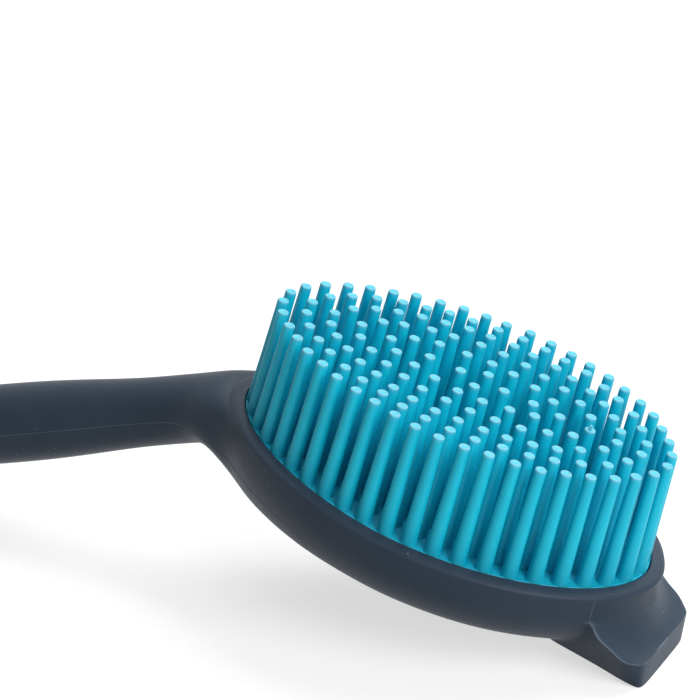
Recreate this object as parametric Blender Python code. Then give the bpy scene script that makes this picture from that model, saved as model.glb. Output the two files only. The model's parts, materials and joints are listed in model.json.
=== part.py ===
"""Silicone dish brush: bristles in an egg-shaped tray, on a handle, with a scraper at the tip.

The brush is modelled in its head's own frame: +X runs from the handle to the scraper, +Z runs
along the bristles, and z = 0 is the face that the bristles stand on. At the end the whole brush
is turned about Y and set down on its back, on the scraper's lower edge and the handle's end.
"""

import math

import bmesh
import bpy
from mathutils import Matrix, Vector

# Driving dimensions, in metres and radians. A share is a fraction of the size that it follows.

# The head: an egg-shaped bowl with a flat back, wider towards the scraper
HEAD_LENGTH = 0.1046
HEAD_WIDTH = 0.0710
HEAD_DEPTH = 0.0187
BOWL_RADIUS = 0.0165
EGG_ROUNDNESS = 1.84
EGG_TAPER_share = 0.057
# Towards the handle the wall grows steeper: what is left of its inset there, and from where to where
NECK_INSET_share = 0.5
STEEPER_FROM = math.radians(93.0)
STEEPER_TO = math.radians(145.0)

# The rim round the pad: a flat land that stands just above the pad's face
RIM_WIDTH = 0.0034
RIM_HEIGHT = 0.0003
RIM_ROUND = 0.0013
# How far in the cage's rings on the flat top stand, as shares of the rim's width
TOP_RING_shares = (4.0, 1.5)
# The innermost ring on the flat back, as a share of the one where the bowl's wall ends
BACK_FACE_share = 0.8

# The bristle pad and its bristles
PAD_THICKNESS = 0.0030
BRISTLE_HEIGHT = 0.0258
BRISTLE_FOOT_HEIGHT = 0.0014
BRISTLE_SIDES = 8
# What is left free between the feet of two rings, and the diameters above as shares of the foot's
BRISTLE_CLEARANCE = 0.00065
BRISTLE_BASE_share = 0.868
BRISTLE_TIP_share = 0.658
FIELD_END_MARGIN = 0.0021
FIELD_SIDE_MARGIN = 0.0021
# Each ring's length and width as shares of the field's, its bristles, and its shift to the front
RING_shares = (
    (1.000, 1.000, 44, 0.0),
    (0.875, 0.850, 36, 0.0),
    (0.745, 0.690, 32, 0.0),
    (0.605, 0.500, 24, 0.0),
    (0.445, 0.297, 16, 0.0),
    (0.275, 0.000, 2, 0.042),
    (0.120, 0.127, 4, 0.042),
)

# The plugs under the pad, which lock it into the core
PLUG_DIAMETER = 0.0060
PLUG_LENGTH = 0.0050
PLUG_COUNT = 6
PLUG_SIDES = 12
PLUG_RING_share = 0.55

# The scraper: a tongue that leaves the bowl's wall, narrower at its back, and ends blunt
SCRAPER_WIDTH = 0.0358
SCRAPER_BACK_WIDTH = 0.0266
SCRAPER_REACH = 0.0066
SCRAPER_THICKNESS = 0.0059
SCRAPER_END_SLOPE = 0.0009
SCRAPER_END_WIDTH = 0.0220
SCRAPER_END_HOLLOW = 0.0001
SCRAPER_CORNER = 0.0060
# Where its back starts behind the head's front end, as a share of the bowl's radius
SCRAPER_ROOT_share = 1.02
SCRAPER_ROOT_WIDTH_share = 0.84
# (way out to the end, width, drop) of its top's side edge, from the wall to the rounded corner
SCRAPER_EDGE_shares = (
    (0.116, 0.994, 0.203),
    (0.254, 1.000, 0.415),
    (0.478, 0.966, 0.660),
    (0.696, 0.939, 0.870),
    (0.891, 0.810, 0.984),
)
# (way out to the end, width) of its back's side edge
SCRAPER_BACK_shares = (
    (0.171, 0.865), (0.363, 0.895), (0.577, 0.932), (0.790, 0.981), (0.949, 0.962),
)
# Way out to the end of its middle's sections, and how hollow the sweep down from the wall is
SCRAPER_MIDDLE_shares = (0.16, 0.34, 0.57, 0.80, 1.0)
SCRAPER_HOLLOW = 1.75

# The handle: a straight, nearly round grip, bent back from the head's plane
HANDLE_ANGLE = math.radians(30.0)
HANDLE_LENGTH = 0.1260
NECK_REACH = 0.0110
NECK_DROP = 0.0132
NECK_DIAMETER = 0.0162
GRIP_DIAMETER = 0.0190
TAIL_THICKNESS = 0.0130
TAIL_WIDTH = 0.0200
HANG_HOLE_LENGTH = 0.0130
HANG_HOLE_WIDTH = 0.0080
HANG_HOLE_MARGIN = 0.0070
# (way from inside the wall to the neck, rise, width, height) of the neck's first sections
NECK_shares = ((0.05, 0.0, 1.56, 0.95), (0.60, 0.0, 1.16, 1.0), (1.30, 0.0, 1.02, 1.0))
# (way along the handle, width, height) of the grip's sections, as shares of its diameters
GRIP_shares = ((0.30, 1.0, 1.0), (0.50, 1.0, 1.0), (0.70, 1.0, 1.0))
NECK_END_share = 0.12
# (way along the handle, width, height) of the flattened end's sections
TAIL_shares = ((0.95, 1.0, 1.0), (0.985, 0.86, 0.85), (1.0, 0.5, 0.5))
TAIL_START_shares = (0.86, 0.85)

# The nylon core inside the silicone
SKIN_THICKNESS = 0.0026
CORE_LEDGE = 0.0020
SPINE_WIDTH = 0.0110
SPINE_HEIGHT = 0.0085
SPINE_ROOT_WIDTH = 0.0200
SPINE_END_MARGIN = 0.0060
TONGUE_WIDTH = 0.0210
TONGUE_THICKNESS = 0.0018
TONGUE_MARGIN = 0.0035
# Where the spine starts behind the head's middle, where it narrows, its knee and its neck
SPINE_ROOT_share = 0.55
SPINE_WIDE_share = 0.6
SPINE_KNEE_share = 0.8
SPINE_KNEE_WIDTH_share = 1.1
SPINE_NECK_share = 0.3
# Where the tongue starts before the head's middle, and its corners in shares of the scraper's
TONGUE_ROOT_share = 0.35
TONGUE_CORNER_share = 0.6

# Clearance between pieces that touch, and how far a cutter runs beyond the face it cuts
GAP = 0.0003
OVERRUN = 0.0010

# Facets: points round the egg outlines, and levels of subdivision of the outer skin
OUTLINE_POINTS = 64
SPINE_SIDES = 14
SKIN_LEVELS = 1

# Cage of the head: angles round the egg where its columns stand, on one side of the brush
SCRAPER_ANGLES = tuple(math.radians(a) for a in (0.0, 15.0, 30.0))
WALL_ANGLES = tuple(math.radians(a) for a in (41.0, 53.0, 66.0, 81.0, 97.0, 112.0, 126.0, 139.0))
NECK_ANGLES = tuple(math.radians(a) for a in (151.0, 165.0, 180.0))
# Where the cage's rings stand on the bowl's quarter round, from the rim down to the back
BOWL_ANGLES = tuple(math.radians(a) for a in (15.6, 36.0, 60.0, 90.0))
# Where the core's rings stand on the same quarter round, inside the skin
CORE_ANGLES = tuple(math.radians(a) for a in (35.0, 55.0, 75.0))
# A step along the egg that is small enough to take its direction from, and a round-off
SMALL_ANGLE = math.radians(0.006)
ROUND_OFF_share = 1e-6

HALF_LENGTH = HEAD_LENGTH / 2
HALF_WIDTH = HEAD_WIDTH / 2
PAD_HALF_LENGTH = HALF_LENGTH - RIM_WIDTH - GAP
PAD_HALF_WIDTH = HALF_WIDTH - RIM_WIDTH - GAP
FIELD_HALF_LENGTH = PAD_HALF_LENGTH - FIELD_END_MARGIN
FIELD_HALF_WIDTH = PAD_HALF_WIDTH - FIELD_SIDE_MARGIN
RING_PITCH = FIELD_HALF_WIDTH * (RING_shares[0][1] - RING_shares[1][1])
BRISTLE_FOOT_DIAMETER = RING_PITCH - BRISTLE_CLEARANCE
BACK_Z = RIM_HEIGHT - HEAD_DEPTH
POCKET_Z = -PAD_THICKNESS - GAP
NECK_START = Vector((-HALF_LENGTH - NECK_REACH, 0, -NECK_DROP))
HANDLE_AXIS = Vector((-math.cos(HANDLE_ANGLE), 0, -math.sin(HANDLE_ANGLE)))
HANDLE_UP = Vector((-math.sin(HANDLE_ANGLE), 0, math.cos(HANDLE_ANGLE)))


def clear_scene():
    for obj in list(bpy.data.objects):
        bpy.data.objects.remove(obj, do_unlink=True)


def material(name, colour, roughness, metallic=0.0):
    made = bpy.data.materials.new(name)
    made.use_nodes = True
    shader = made.node_tree.nodes["Principled BSDF"]
    shader.inputs["Base Color"].default_value = (*colour, 1)
    shader.inputs["Roughness"].default_value = roughness
    shader.inputs["Metallic"].default_value = metallic
    made.diffuse_color = (*colour, 1)
    return made


def object_from(bm, name, finish=None):
    """Turn the bmesh into an object with its faces pointing out."""
    bmesh.ops.recalc_face_normals(bm, faces=bm.faces)
    mesh = bpy.data.meshes.new(name)
    bm.to_mesh(mesh)
    bm.free()
    made = bpy.data.objects.new(name, mesh)
    bpy.context.scene.collection.objects.link(made)
    if finish:
        mesh.materials.append(finish)
        mesh.shade_smooth()
    return made


def guide_from(bm, name):
    """An object that only cuts or adds to another one."""
    made = object_from(bm, name)
    made.hide_render = True
    made.display_type = "WIRE"
    return made


def boolean(target, guide, operation):
    modifier = target.modifiers.new(guide.name, "BOOLEAN")
    modifier.operation = operation
    modifier.solver = "EXACT"
    modifier.object = guide


def egg_point(half_length, half_width, angle, z=0.0):
    """A point of the head's egg-shaped outline. Angle 0 points to the scraper."""
    power = 2 / EGG_ROUNDNESS
    c, s = math.cos(angle), math.sin(angle)
    along = math.copysign(abs(c) ** power, c)
    across = math.copysign(abs(s) ** power, s) * (1 + EGG_TAPER_share * along)
    return Vector((half_length * along, half_width * across, z))


def egg_inside(inset, angle, z):
    """The point of the head's outline at this angle, moved squarely inwards."""
    point = egg_point(HALF_LENGTH, HALF_WIDTH, angle, z)
    along = egg_point(HALF_LENGTH, HALF_WIDTH, angle + SMALL_ANGLE, z)
    along -= egg_point(HALF_LENGTH, HALF_WIDTH, angle - SMALL_ANGLE, z)
    return point + Vector((-along.y, along.x, 0)).normalized() * inset


def egg_outline(half_length, half_width, z, count=OUTLINE_POINTS, first=0.5):
    return [egg_point(half_length, half_width, math.tau * (i + first) / count, z)
            for i in range(count)]


def even_egg(half_length, half_width, count):
    """Points at equal steps round an egg, the first one on the scraper's side."""
    fine = count * OUTLINE_POINTS
    outline = egg_outline(half_length, half_width, 0, fine, first=0)
    steps = [(outline[(i + 1) % fine] - p).length for i, p in enumerate(outline)]
    pitch = sum(steps) / count
    points, walked = [], 0.0
    for point, step in zip(outline, steps):
        if len(points) < count and walked >= pitch * (len(points) - ROUND_OFF_share):
            points.append(point)
        walked += step
    return points


def add_ring(bm, points):
    return [bm.verts.new(p) for p in points]


def join_rings(bm, first, second, skip=()):
    count = len(first)
    for i in range(count):
        if i not in skip:
            j = (i + 1) % count
            bm.faces.new((first[i], first[j], second[j], second[i]))


def add_loft(bm, sections):
    """A closed solid through rings of points, with a face across each end."""
    rings = [add_ring(bm, points) for points in sections]
    for first, second in zip(rings, rings[1:]):
        join_rings(bm, first, second)
    bm.faces.new(rings[0])
    bm.faces.new(rings[-1])


def add_turned(bm, centre, profile, sides):
    """A closed solid turned about Z through (radius, height) pairs."""
    add_loft(bm, [[centre + Vector((r * math.cos(math.tau * i / sides),
                                    r * math.sin(math.tau * i / sides), z))
                   for i in range(sides)] for r, z in profile])


# The silicone skin's cage

def spline_scale(count):
    """How much a subdivided ring of this many points draws in, undone."""
    return 3 / (2 + math.cos(math.tau / count))


def wall_inset(inset, angle):
    """The inset of the bowl's wall, smaller where the wall grows steeper towards the handle."""
    from_front = min(angle, math.tau - angle)
    share = (from_front - STEEPER_FROM) / (STEEPER_TO - STEEPER_FROM)
    return inset * (1 - (1 - NECK_INSET_share) * min(max(share, 0), 1))


def counter_smoothing(points, closed=True):
    """Move a row of cage points so that its smoothed curve runs through their old places."""
    moved = [p.copy() for p in points]
    last = len(moved) - 1
    for _ in range(12):
        smoothed = []
        for i, point in enumerate(moved):
            if closed or 0 < i < last:
                point = (moved[i - 1] + 4 * point + moved[(i + 1) % (last + 1)]) / 6
            smoothed.append(point)
        moved = [m + p - s for m, p, s in zip(moved, points, smoothed)]
    return moved


def half_to_full(angles):
    """Angles on the +Y side, followed by their mirror images on the -Y side."""
    return [*angles, *(math.tau - a for a in reversed(angles) if 0 < a < math.pi)]


COLUMNS = half_to_full((*SCRAPER_ANGLES, *WALL_ANGLES, *NECK_ANGLES))
SCRAPER_HALF_COLUMNS = len(SCRAPER_ANGLES) - 1
NECK_HALF_COLUMNS = len(NECK_ANGLES) - 1
NECK_COLUMN = len(SCRAPER_ANGLES) + len(WALL_ANGLES) + NECK_HALF_COLUMNS


def bowl_section():
    """(inset, z) of each ring of the head's cage, from the top face round to the back."""
    centre_z = BACK_Z + BOWL_RADIUS
    section = [(RIM_WIDTH * share, RIM_HEIGHT) for share in TOP_RING_shares]
    section += [(RIM_ROUND, RIM_HEIGHT), (0, RIM_HEIGHT - RIM_ROUND)]
    for angle in BOWL_ANGLES:
        section.append((BOWL_RADIUS * (1 - math.cos(angle)),
                        centre_z - BOWL_RADIUS * math.sin(angle)))
    return [tuple(p) for p in counter_smoothing([Vector(p) for p in section], closed=False)]


NECK_TOP_RING = 3
SCRAPER_TOP_RING = 4
BACK_RING = NECK_TOP_RING + len(BOWL_ANGLES)


def scraper_root(ring):
    """Move the back ring's points under the scraper out to where the scraper's back starts."""
    across = SCRAPER_HALF_COLUMNS
    for i in range(-across, across + 1):
        width = SCRAPER_BACK_WIDTH * SCRAPER_ROOT_WIDTH_share / 2 * i / across
        ring[i].co = Vector((HALF_LENGTH - BOWL_RADIUS * SCRAPER_ROOT_share, width, ring[i].co.z))


def opening_loop(rings, middle, half, top, bottom):
    """The vertices round a hole in the cage, from its top middle round by the +Y side."""
    count = len(COLUMNS)
    side = 1 if middle == 0 else -1
    across = [(middle + side * i) % count for i in range(-half, half + 1)]
    plus, minus = across[half:], across[:half]
    loop = [rings[top][c] for c in plus]
    loop += [rings[r][plus[-1]] for r in range(top + 1, bottom)]
    loop += [rings[bottom][c] for c in reversed(plus)]
    loop += [rings[bottom][c] for c in reversed(minus)]
    loop += [rings[r][minus[0]] for r in range(bottom - 1, top, -1)]
    loop += [rings[top][c] for c in minus]
    return loop


def handle_section(centre, half_width, half_height, up, count, first=0.0):
    """Points round a section of the handle, from its top round by the +Y side."""
    points = []
    for i in range(count):
        angle = math.tau * (i + first) / count
        points.append(centre + up * (half_height * math.cos(angle))
                      + Vector((0, half_width * math.sin(angle), 0)))
    return points


def handle_path():
    """(centre, half width, half height, up) of the handle's sections, from the head's wall on."""
    neck, grip = NECK_DIAMETER / 2, GRIP_DIAMETER / 2
    tail_width, tail_height = TAIL_WIDTH / 2, TAIL_THICKNESS / 2
    flat = Vector((0, 0, 1))
    half_bend = (flat + HANDLE_UP).normalized()
    rise = NECK_START - HANDLE_AXIS * NECK_REACH
    path = []
    for way, lift, width, height in NECK_shares:
        up = half_bend if way < 1 else HANDLE_UP
        centre = rise.lerp(NECK_START, way) + flat * neck * lift
        path.append((centre, neck * width, neck * height, up))
    tail_start, tail_start_height = TAIL_START_shares
    stations = [(NECK_END_share, neck, neck)]
    stations += [(way, grip * width, grip * height) for way, width, height in GRIP_shares]
    stations.append((tail_start, tail_width, grip * tail_start_height))
    stations += [(way, tail_width * w, tail_height * h) for way, w, h in TAIL_shares]
    for way, width, height in stations:
        path.append((NECK_START + HANDLE_AXIS * HANDLE_LENGTH * way, width, height, HANDLE_UP))
    return path


def scraper_sections(root):
    """The loops of the scraper's cage, from the bowl's wall out to the blunt end."""
    across, half = SCRAPER_HALF_COLUMNS, len(root) // 2
    below = half - across
    back_x, top_z = HALF_LENGTH + SCRAPER_REACH, BACK_Z + SCRAPER_THICKNESS
    top_x = back_x - SCRAPER_END_SLOPE
    sections = []
    for edge, back, middle in zip(SCRAPER_EDGE_shares, SCRAPER_BACK_shares, SCRAPER_MIDDLE_shares):
        points = [None] * len(root)
        drop_middle = 1 - (1 - middle) ** SCRAPER_HOLLOW
        for side in (1, -1):
            way, width, drop = edge
            wall = root[side * across].co
            top = Vector((wall.x + (top_x - wall.x) * way, side * SCRAPER_WIDTH / 2 * width,
                          wall.z + (top_z - wall.z) * drop))
            way, width = back
            heel = root[side * below].co
            low = Vector((heel.x + (back_x - heel.x) * way,
                          side * SCRAPER_BACK_WIDTH / 2 * width, BACK_Z))
            points[side * across], points[side * below] = top, low
            for i in range(across):
                end_y = side * SCRAPER_END_WIDTH / 2 * i / (across - 1)
                wall, heel = root[side * i].co, root[half - side * i].co
                point = wall.lerp(Vector((top_x, end_y, 0)), middle)
                point.z = wall.z + (top_z - wall.z) * drop_middle
                points[side * i] = point
                points[half - side * i] = heel.lerp(Vector((back_x, end_y, heel.z)), middle)
                points[half - side * i].z = BACK_Z
        sections.append(points)
    for i in (0, half):
        sections[-1][i].x -= SCRAPER_END_HOLLOW
    for corner, row in ((across, range(across - 1, -across, -1)),
                        (below, range(below + 1, half + across))):
        path = [(points, corner) for points in sections]
        path += [(sections[-1], i) for i in row]
        path += [(points, -corner) for points in reversed(sections)]
        old = [root[corner].co, *(points[i] for points, i in path), root[-corner].co]
        for (points, i), new in zip(path, counter_smoothing(old, closed=False)[1:]):
            points[i] = new
    for points in sections:
        for side in (1, -1):
            top, low = points[side * across], points[side * below]
            for i in range(across + 1, below):
                points[side * i] = top.lerp(low, (i - across) / (below - across))
    return sections


def skin_cage():
    """The outer shape of the silicone body: bowl, scraper and handle in one cage."""
    bm = bmesh.new()
    crease = bm.edges.layers.float.new("crease_edge")
    section = bowl_section()
    rings = []
    for r, (inset, z) in enumerate(section):
        insets = [wall_inset(inset, a) if r > NECK_TOP_RING else inset for a in COLUMNS]
        points = [egg_inside(i, a, z) for i, a in zip(insets, COLUMNS)]
        rings.append(add_ring(bm, counter_smoothing(points)))
    scraper_root(rings[BACK_RING])
    draw_in = Vector((BACK_FACE_share, BACK_FACE_share, 1))
    rings.append(add_ring(bm, [v.co * draw_in for v in rings[BACK_RING]]))
    count = len(COLUMNS)
    neck_faces = {(NECK_COLUMN + i) % count for i in range(-NECK_HALF_COLUMNS, NECK_HALF_COLUMNS)}
    scraper_faces = {i % count for i in range(-SCRAPER_HALF_COLUMNS, SCRAPER_HALF_COLUMNS)}
    for r in range(len(rings) - 1):
        skip = set()
        if NECK_TOP_RING <= r < BACK_RING:
            skip |= neck_faces
        if SCRAPER_TOP_RING <= r < BACK_RING:
            skip |= scraper_faces
        join_rings(bm, rings[r], rings[r + 1], skip)
    bm.faces.new(rings[0])
    bm.faces.new(rings[-1])

    loop = opening_loop(rings, NECK_COLUMN, NECK_HALF_COLUMNS, NECK_TOP_RING, BACK_RING)
    swell = spline_scale(len(loop))
    for centre, half_width, half_height, up in handle_path():
        points = handle_section(centre, half_width * swell, half_height * swell, up, len(loop))
        ring = add_ring(bm, points)
        join_rings(bm, loop, ring)
        loop = ring
    bm.faces.new(loop)

    loop = opening_loop(rings, 0, SCRAPER_HALF_COLUMNS, SCRAPER_TOP_RING, BACK_RING)
    for points in scraper_sections(loop):
        ring = add_ring(bm, points)
        join_rings(bm, loop, ring)
        for i, vert in enumerate(ring):
            if min(i, len(ring) - i) == SCRAPER_HALF_COLUMNS or \
                    abs(len(ring) // 2 - i) == SCRAPER_HALF_COLUMNS:
                bm.edges.get((loop[i], vert))[crease] = 1.0
        loop = ring
    cap_scraper(bm, loop, crease)
    unused = [v for v in bm.verts if not v.link_faces]
    bmesh.ops.delete(bm, geom=unused, context="VERTS")
    return bm


def cap_scraper(bm, loop, crease):
    """The scraper's blunt end, with a sharp edge along its top and its back."""
    across, half = SCRAPER_HALF_COLUMNS, len(loop) // 2
    steps = half - 2 * across
    top = [loop[i] for i in range(-across, across + 1)]
    back = [loop[half - i] for i in range(-across, across + 1)]
    rows = [top]
    for k in range(1, steps):
        inner = [bm.verts.new(t.co.lerp(b.co, k / steps)) for t, b in zip(top[1:-1], back[1:-1])]
        rows.append([loop[-across - k], *inner, loop[across + k]])
    rows.append(back)
    for upper, lower in zip(rows, rows[1:]):
        for i in range(len(upper) - 1):
            bm.faces.new((upper[i], upper[i + 1], lower[i + 1], lower[i]))
    for row in (top, back):
        for first, second in zip(row, row[1:]):
            bm.edges.get((first, second))[crease] = 1.0


# What the skin and the core share

def core_block_sections(clearance, top_z):
    """The core's head: an egg-shaped block that follows the bowl inside the skin."""
    centre_z = BACK_Z + BOWL_RADIUS
    inner = BOWL_RADIUS - SKIN_THICKNESS + clearance
    wall = RIM_WIDTH + CORE_LEDGE
    sections = [egg_outline(HALF_LENGTH - wall + clearance, HALF_WIDTH - wall + clearance, top_z)]
    for angle in CORE_ANGLES:
        inset = max(BOWL_RADIUS - inner * math.cos(angle), wall - clearance)
        sections.append(egg_outline(HALF_LENGTH - inset, HALF_WIDTH - inset,
                                    centre_z - inner * math.sin(angle)))
    inset = BOWL_RADIUS
    sections.append(egg_outline(HALF_LENGTH - inset, HALF_WIDTH - inset, centre_z - inner))
    return sections


def spine_sections(clearance):
    """The core's spine: an oval bar from inside the head to short of the hanging hole."""
    half_width, half_height = SPINE_WIDTH / 2 + clearance, SPINE_HEIGHT / 2 + clearance
    flat = Vector((0, 0, 1))
    root_half_width = SPINE_ROOT_WIDTH / 2 + clearance
    root = Vector((-HALF_LENGTH * SPINE_ROOT_share, 0, (POCKET_Z + BACK_Z) / 2))
    knee = NECK_START - HANDLE_AXIS * NECK_REACH * SPINE_KNEE_share
    neck = NECK_START + HANDLE_AXIS * NECK_REACH * SPINE_NECK_share
    end = HANDLE_LENGTH - HANG_HOLE_MARGIN - HANG_HOLE_LENGTH - SPINE_END_MARGIN + clearance
    bend = (flat + HANDLE_UP).normalized()
    path = [
        (root, root_half_width, half_height, flat),
        (root.lerp(knee, SPINE_WIDE_share), root_half_width, half_height, flat),
        (knee, half_width * SPINE_KNEE_WIDTH_share, half_height, bend),
        (neck, half_width, half_height, HANDLE_UP),
        (NECK_START + HANDLE_AXIS * end, half_width, half_height, HANDLE_UP),
    ]
    return [handle_section(*station, SPINE_SIDES, 0.5) for station in path]


def add_slab(bm, x_range, half_width, z_range, corner):
    """A flat bar along X with round vertical corners."""
    made = bmesh.ops.create_cube(bm, size=1)["verts"]
    size = Vector((x_range[1] - x_range[0], 2 * half_width, z_range[1] - z_range[0]))
    middle = Vector(((x_range[0] + x_range[1]) / 2, 0, (z_range[0] + z_range[1]) / 2))
    bmesh.ops.scale(bm, vec=size, verts=made)
    bmesh.ops.translate(bm, vec=middle, verts=made)
    upright = [e for e in bm.edges if abs(e.verts[0].co.z - e.verts[1].co.z) > size.z / 2]
    bmesh.ops.bevel(bm, geom=upright, offset=corner, segments=4, affect="EDGES", profile=0.5)


def tongue(clearance):
    """The core's flat tongue, which stiffens the scraper."""
    bm = bmesh.new()
    middle_z = BACK_Z + SCRAPER_THICKNESS / 2
    half_thickness = TONGUE_THICKNESS / 2 + clearance
    tip = HALF_LENGTH + SCRAPER_REACH - TONGUE_MARGIN + clearance
    add_slab(bm, (HALF_LENGTH * TONGUE_ROOT_share - clearance, tip), TONGUE_WIDTH / 2 + clearance,
             (middle_z - half_thickness, middle_z + half_thickness),
             SCRAPER_CORNER * TONGUE_CORNER_share)
    return bm


def core_shape(name, clearance, top_z, finish=None):
    """The core's block, spine and tongue as one form, and the guides that it is made from."""
    bm = bmesh.new()
    add_loft(bm, core_block_sections(clearance, top_z))
    block = object_from(bm, name, finish) if finish else guide_from(bm, name)
    guides = [loft_guide(spine_sections(clearance), name + "_spine"),
              guide_from(tongue(clearance), name + "_tongue")]
    for guide in guides:
        boolean(block, guide, "UNION")
    return [block, *guides]


def plug_places():
    return even_egg(PAD_HALF_LENGTH * PLUG_RING_share, PAD_HALF_WIDTH * PLUG_RING_share, PLUG_COUNT)


def plugs(clearance, top_z):
    bm = bmesh.new()
    radius = PLUG_DIAMETER / 2 + clearance
    for place in plug_places():
        add_turned(bm, place, ((radius, -PAD_THICKNESS - PLUG_LENGTH - clearance),
                               (radius, top_z)), PLUG_SIDES)
    return bm


def loft_guide(sections, name):
    bm = bmesh.new()
    add_loft(bm, sections)
    return guide_from(bm, name)


def hanging_hole():
    """The cutter of the oblong hole through the handle's flattened end."""
    bm = bmesh.new()
    straight = (HANG_HOLE_LENGTH - HANG_HOLE_WIDTH) / 2
    radius = HANG_HOLE_WIDTH / 2
    arc = 7
    outline = []
    for side in (1, -1):
        for i in range(arc + 1):
            angle = math.pi * i / arc - math.pi / 2
            outline.append(Vector((side * (straight + radius * math.cos(angle)),
                                   side * radius * math.sin(angle), 0)))
    depth = Vector((0, 0, TAIL_THICKNESS))
    add_loft(bm, [[p - depth for p in outline], [p + depth for p in outline]])
    made = guide_from(bm, "hanging_hole")
    from_end = HANDLE_LENGTH - HANG_HOLE_MARGIN - HANG_HOLE_LENGTH / 2
    made.location = NECK_START + HANDLE_AXIS * from_end
    made.rotation_euler = (0, -HANDLE_ANGLE, 0)
    return made


# The pieces

def build_body_skin(finish):
    """The dark silicone moulded over the core: rim, bowl, scraper, neck and handle."""
    skin = object_from(skin_cage(), "body_skin", finish)
    surface = skin.modifiers.new("smooth_form", "SUBSURF")
    surface.levels = SKIN_LEVELS
    surface.render_levels = SKIN_LEVELS
    pocket = loft_guide([egg_outline(PAD_HALF_LENGTH + GAP, PAD_HALF_WIDTH + GAP, z)
                         for z in (POCKET_Z, RIM_HEIGHT + OVERRUN)], "pad_pocket")
    room = core_shape("core_room", GAP, POCKET_Z + OVERRUN)
    hole = hanging_hole()
    for guide in (hole, pocket, room[0]):
        boolean(skin, guide, "DIFFERENCE")
    return [skin, pocket, *room, hole]


def build_core(finish):
    """The stiff nylon core: a block in the head, a spine in the handle, a tongue in the scraper."""
    core = core_shape("nylon_core", 0, POCKET_Z, finish)
    holes = guide_from(plugs(GAP, POCKET_Z + OVERRUN), "plug_holes")
    boolean(core[0], holes, "DIFFERENCE")
    return [*core, holes]


def build_bristle_pad(finish):
    """The teal silicone moulding: pad, bristles and plugs in one piece."""
    bm = bmesh.new()
    add_loft(bm, [egg_outline(PAD_HALF_LENGTH, PAD_HALF_WIDTH, z) for z in (-PAD_THICKNESS, 0)])
    pad = object_from(bm, "bristle_pad", finish)
    field = bmesh.new()
    foot = BRISTLE_FOOT_DIAMETER / 2
    base, tip = foot * BRISTLE_BASE_share, foot * BRISTLE_TIP_share
    profile = ((foot, -OVERRUN), (foot, 0), (base, BRISTLE_FOOT_HEIGHT), (tip, BRISTLE_HEIGHT))
    for length, width, count, shift in RING_shares:
        for place in even_egg(FIELD_HALF_LENGTH * length, FIELD_HALF_WIDTH * width, count):
            place.x += FIELD_HALF_LENGTH * shift
            add_turned(field, place, profile, BRISTLE_SIDES)
    bristles = guide_from(field, "bristle_field")
    boolean(pad, bristles, "UNION")
    locks = guide_from(plugs(0, -PAD_THICKNESS + OVERRUN), "plugs")
    boolean(pad, locks, "UNION")
    return [pad, bristles, locks]


def evaluated_points(obj):
    """The corners of an object's finished mesh, in the scene's frame."""
    finished = obj.evaluated_get(bpy.context.evaluated_depsgraph_get())
    mesh = finished.to_mesh()
    points = [finished.matrix_world @ v.co for v in mesh.vertices]
    finished.to_mesh_clear()
    return points


def resting_tilt(points):
    """The angle of the lower edge that the brush lies on, seen from its side."""
    lower = []
    for x, z in sorted({(p.x, p.z) for p in points}):
        while len(lower) > 1:
            (x1, z1), (x2, z2) = lower[-2:]
            if (x2 - x1) * (z - z1) - (z2 - z1) * (x - x1) > 0:
                break
            lower.pop()
        lower.append((x, z))
    middle = (lower[0][0] + lower[-1][0]) / 2
    for (x1, z1), (x2, z2) in zip(lower, lower[1:]):
        if x1 <= middle <= x2:
            return math.atan2(z2 - z1, x2 - x1)
    return 0.0


def set_down(objects, standing_on):
    """Turn the brush on to its back and put the middle of its footprint at the origin."""
    frame = bpy.data.objects.new("brush_frame", None)
    bpy.context.scene.collection.objects.link(frame)
    turn = Matrix.Rotation(resting_tilt(evaluated_points(standing_on)), 4, "Y")
    points = [turn @ p for p in evaluated_points(standing_on)]
    low = Vector(min(p[i] for p in points) for i in range(3))
    high = Vector(max(p[i] for p in points) for i in range(3))
    middle = (low + high) / 2
    for obj in objects:
        obj.parent = frame
    frame.matrix_world = Matrix.Translation((-middle.x, -middle.y, -low.z)) @ turn


def main():
    clear_scene()
    teal = material("teal_silicone", (0.020, 0.400, 0.560), 0.45)
    slate = material("slate_silicone", (0.045, 0.060, 0.080), 0.50)
    nylon = material("black_nylon", (0.020, 0.020, 0.022), 0.60)
    skin = build_body_skin(slate)
    core = build_core(nylon)
    pad = build_bristle_pad(teal)
    set_down([*skin, *core, *pad], skin[0])


main()
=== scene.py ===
"""Looks of the silicone dish brush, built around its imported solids.

The pieces are modelled in the head's own frame, as in the CAD: +X runs from the handle to the
scraper, +Z runs along the bristles, z = 0 is the face that the bristles stand on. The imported
record's back mount says how that frame lies in the row frame.
"""

import json
import math
import random

import bmesh
import bpy
from mathutils import Matrix, Vector
from mathutils.bvhtree import BVHTree
from mathutils.kdtree import KDTree


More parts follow.
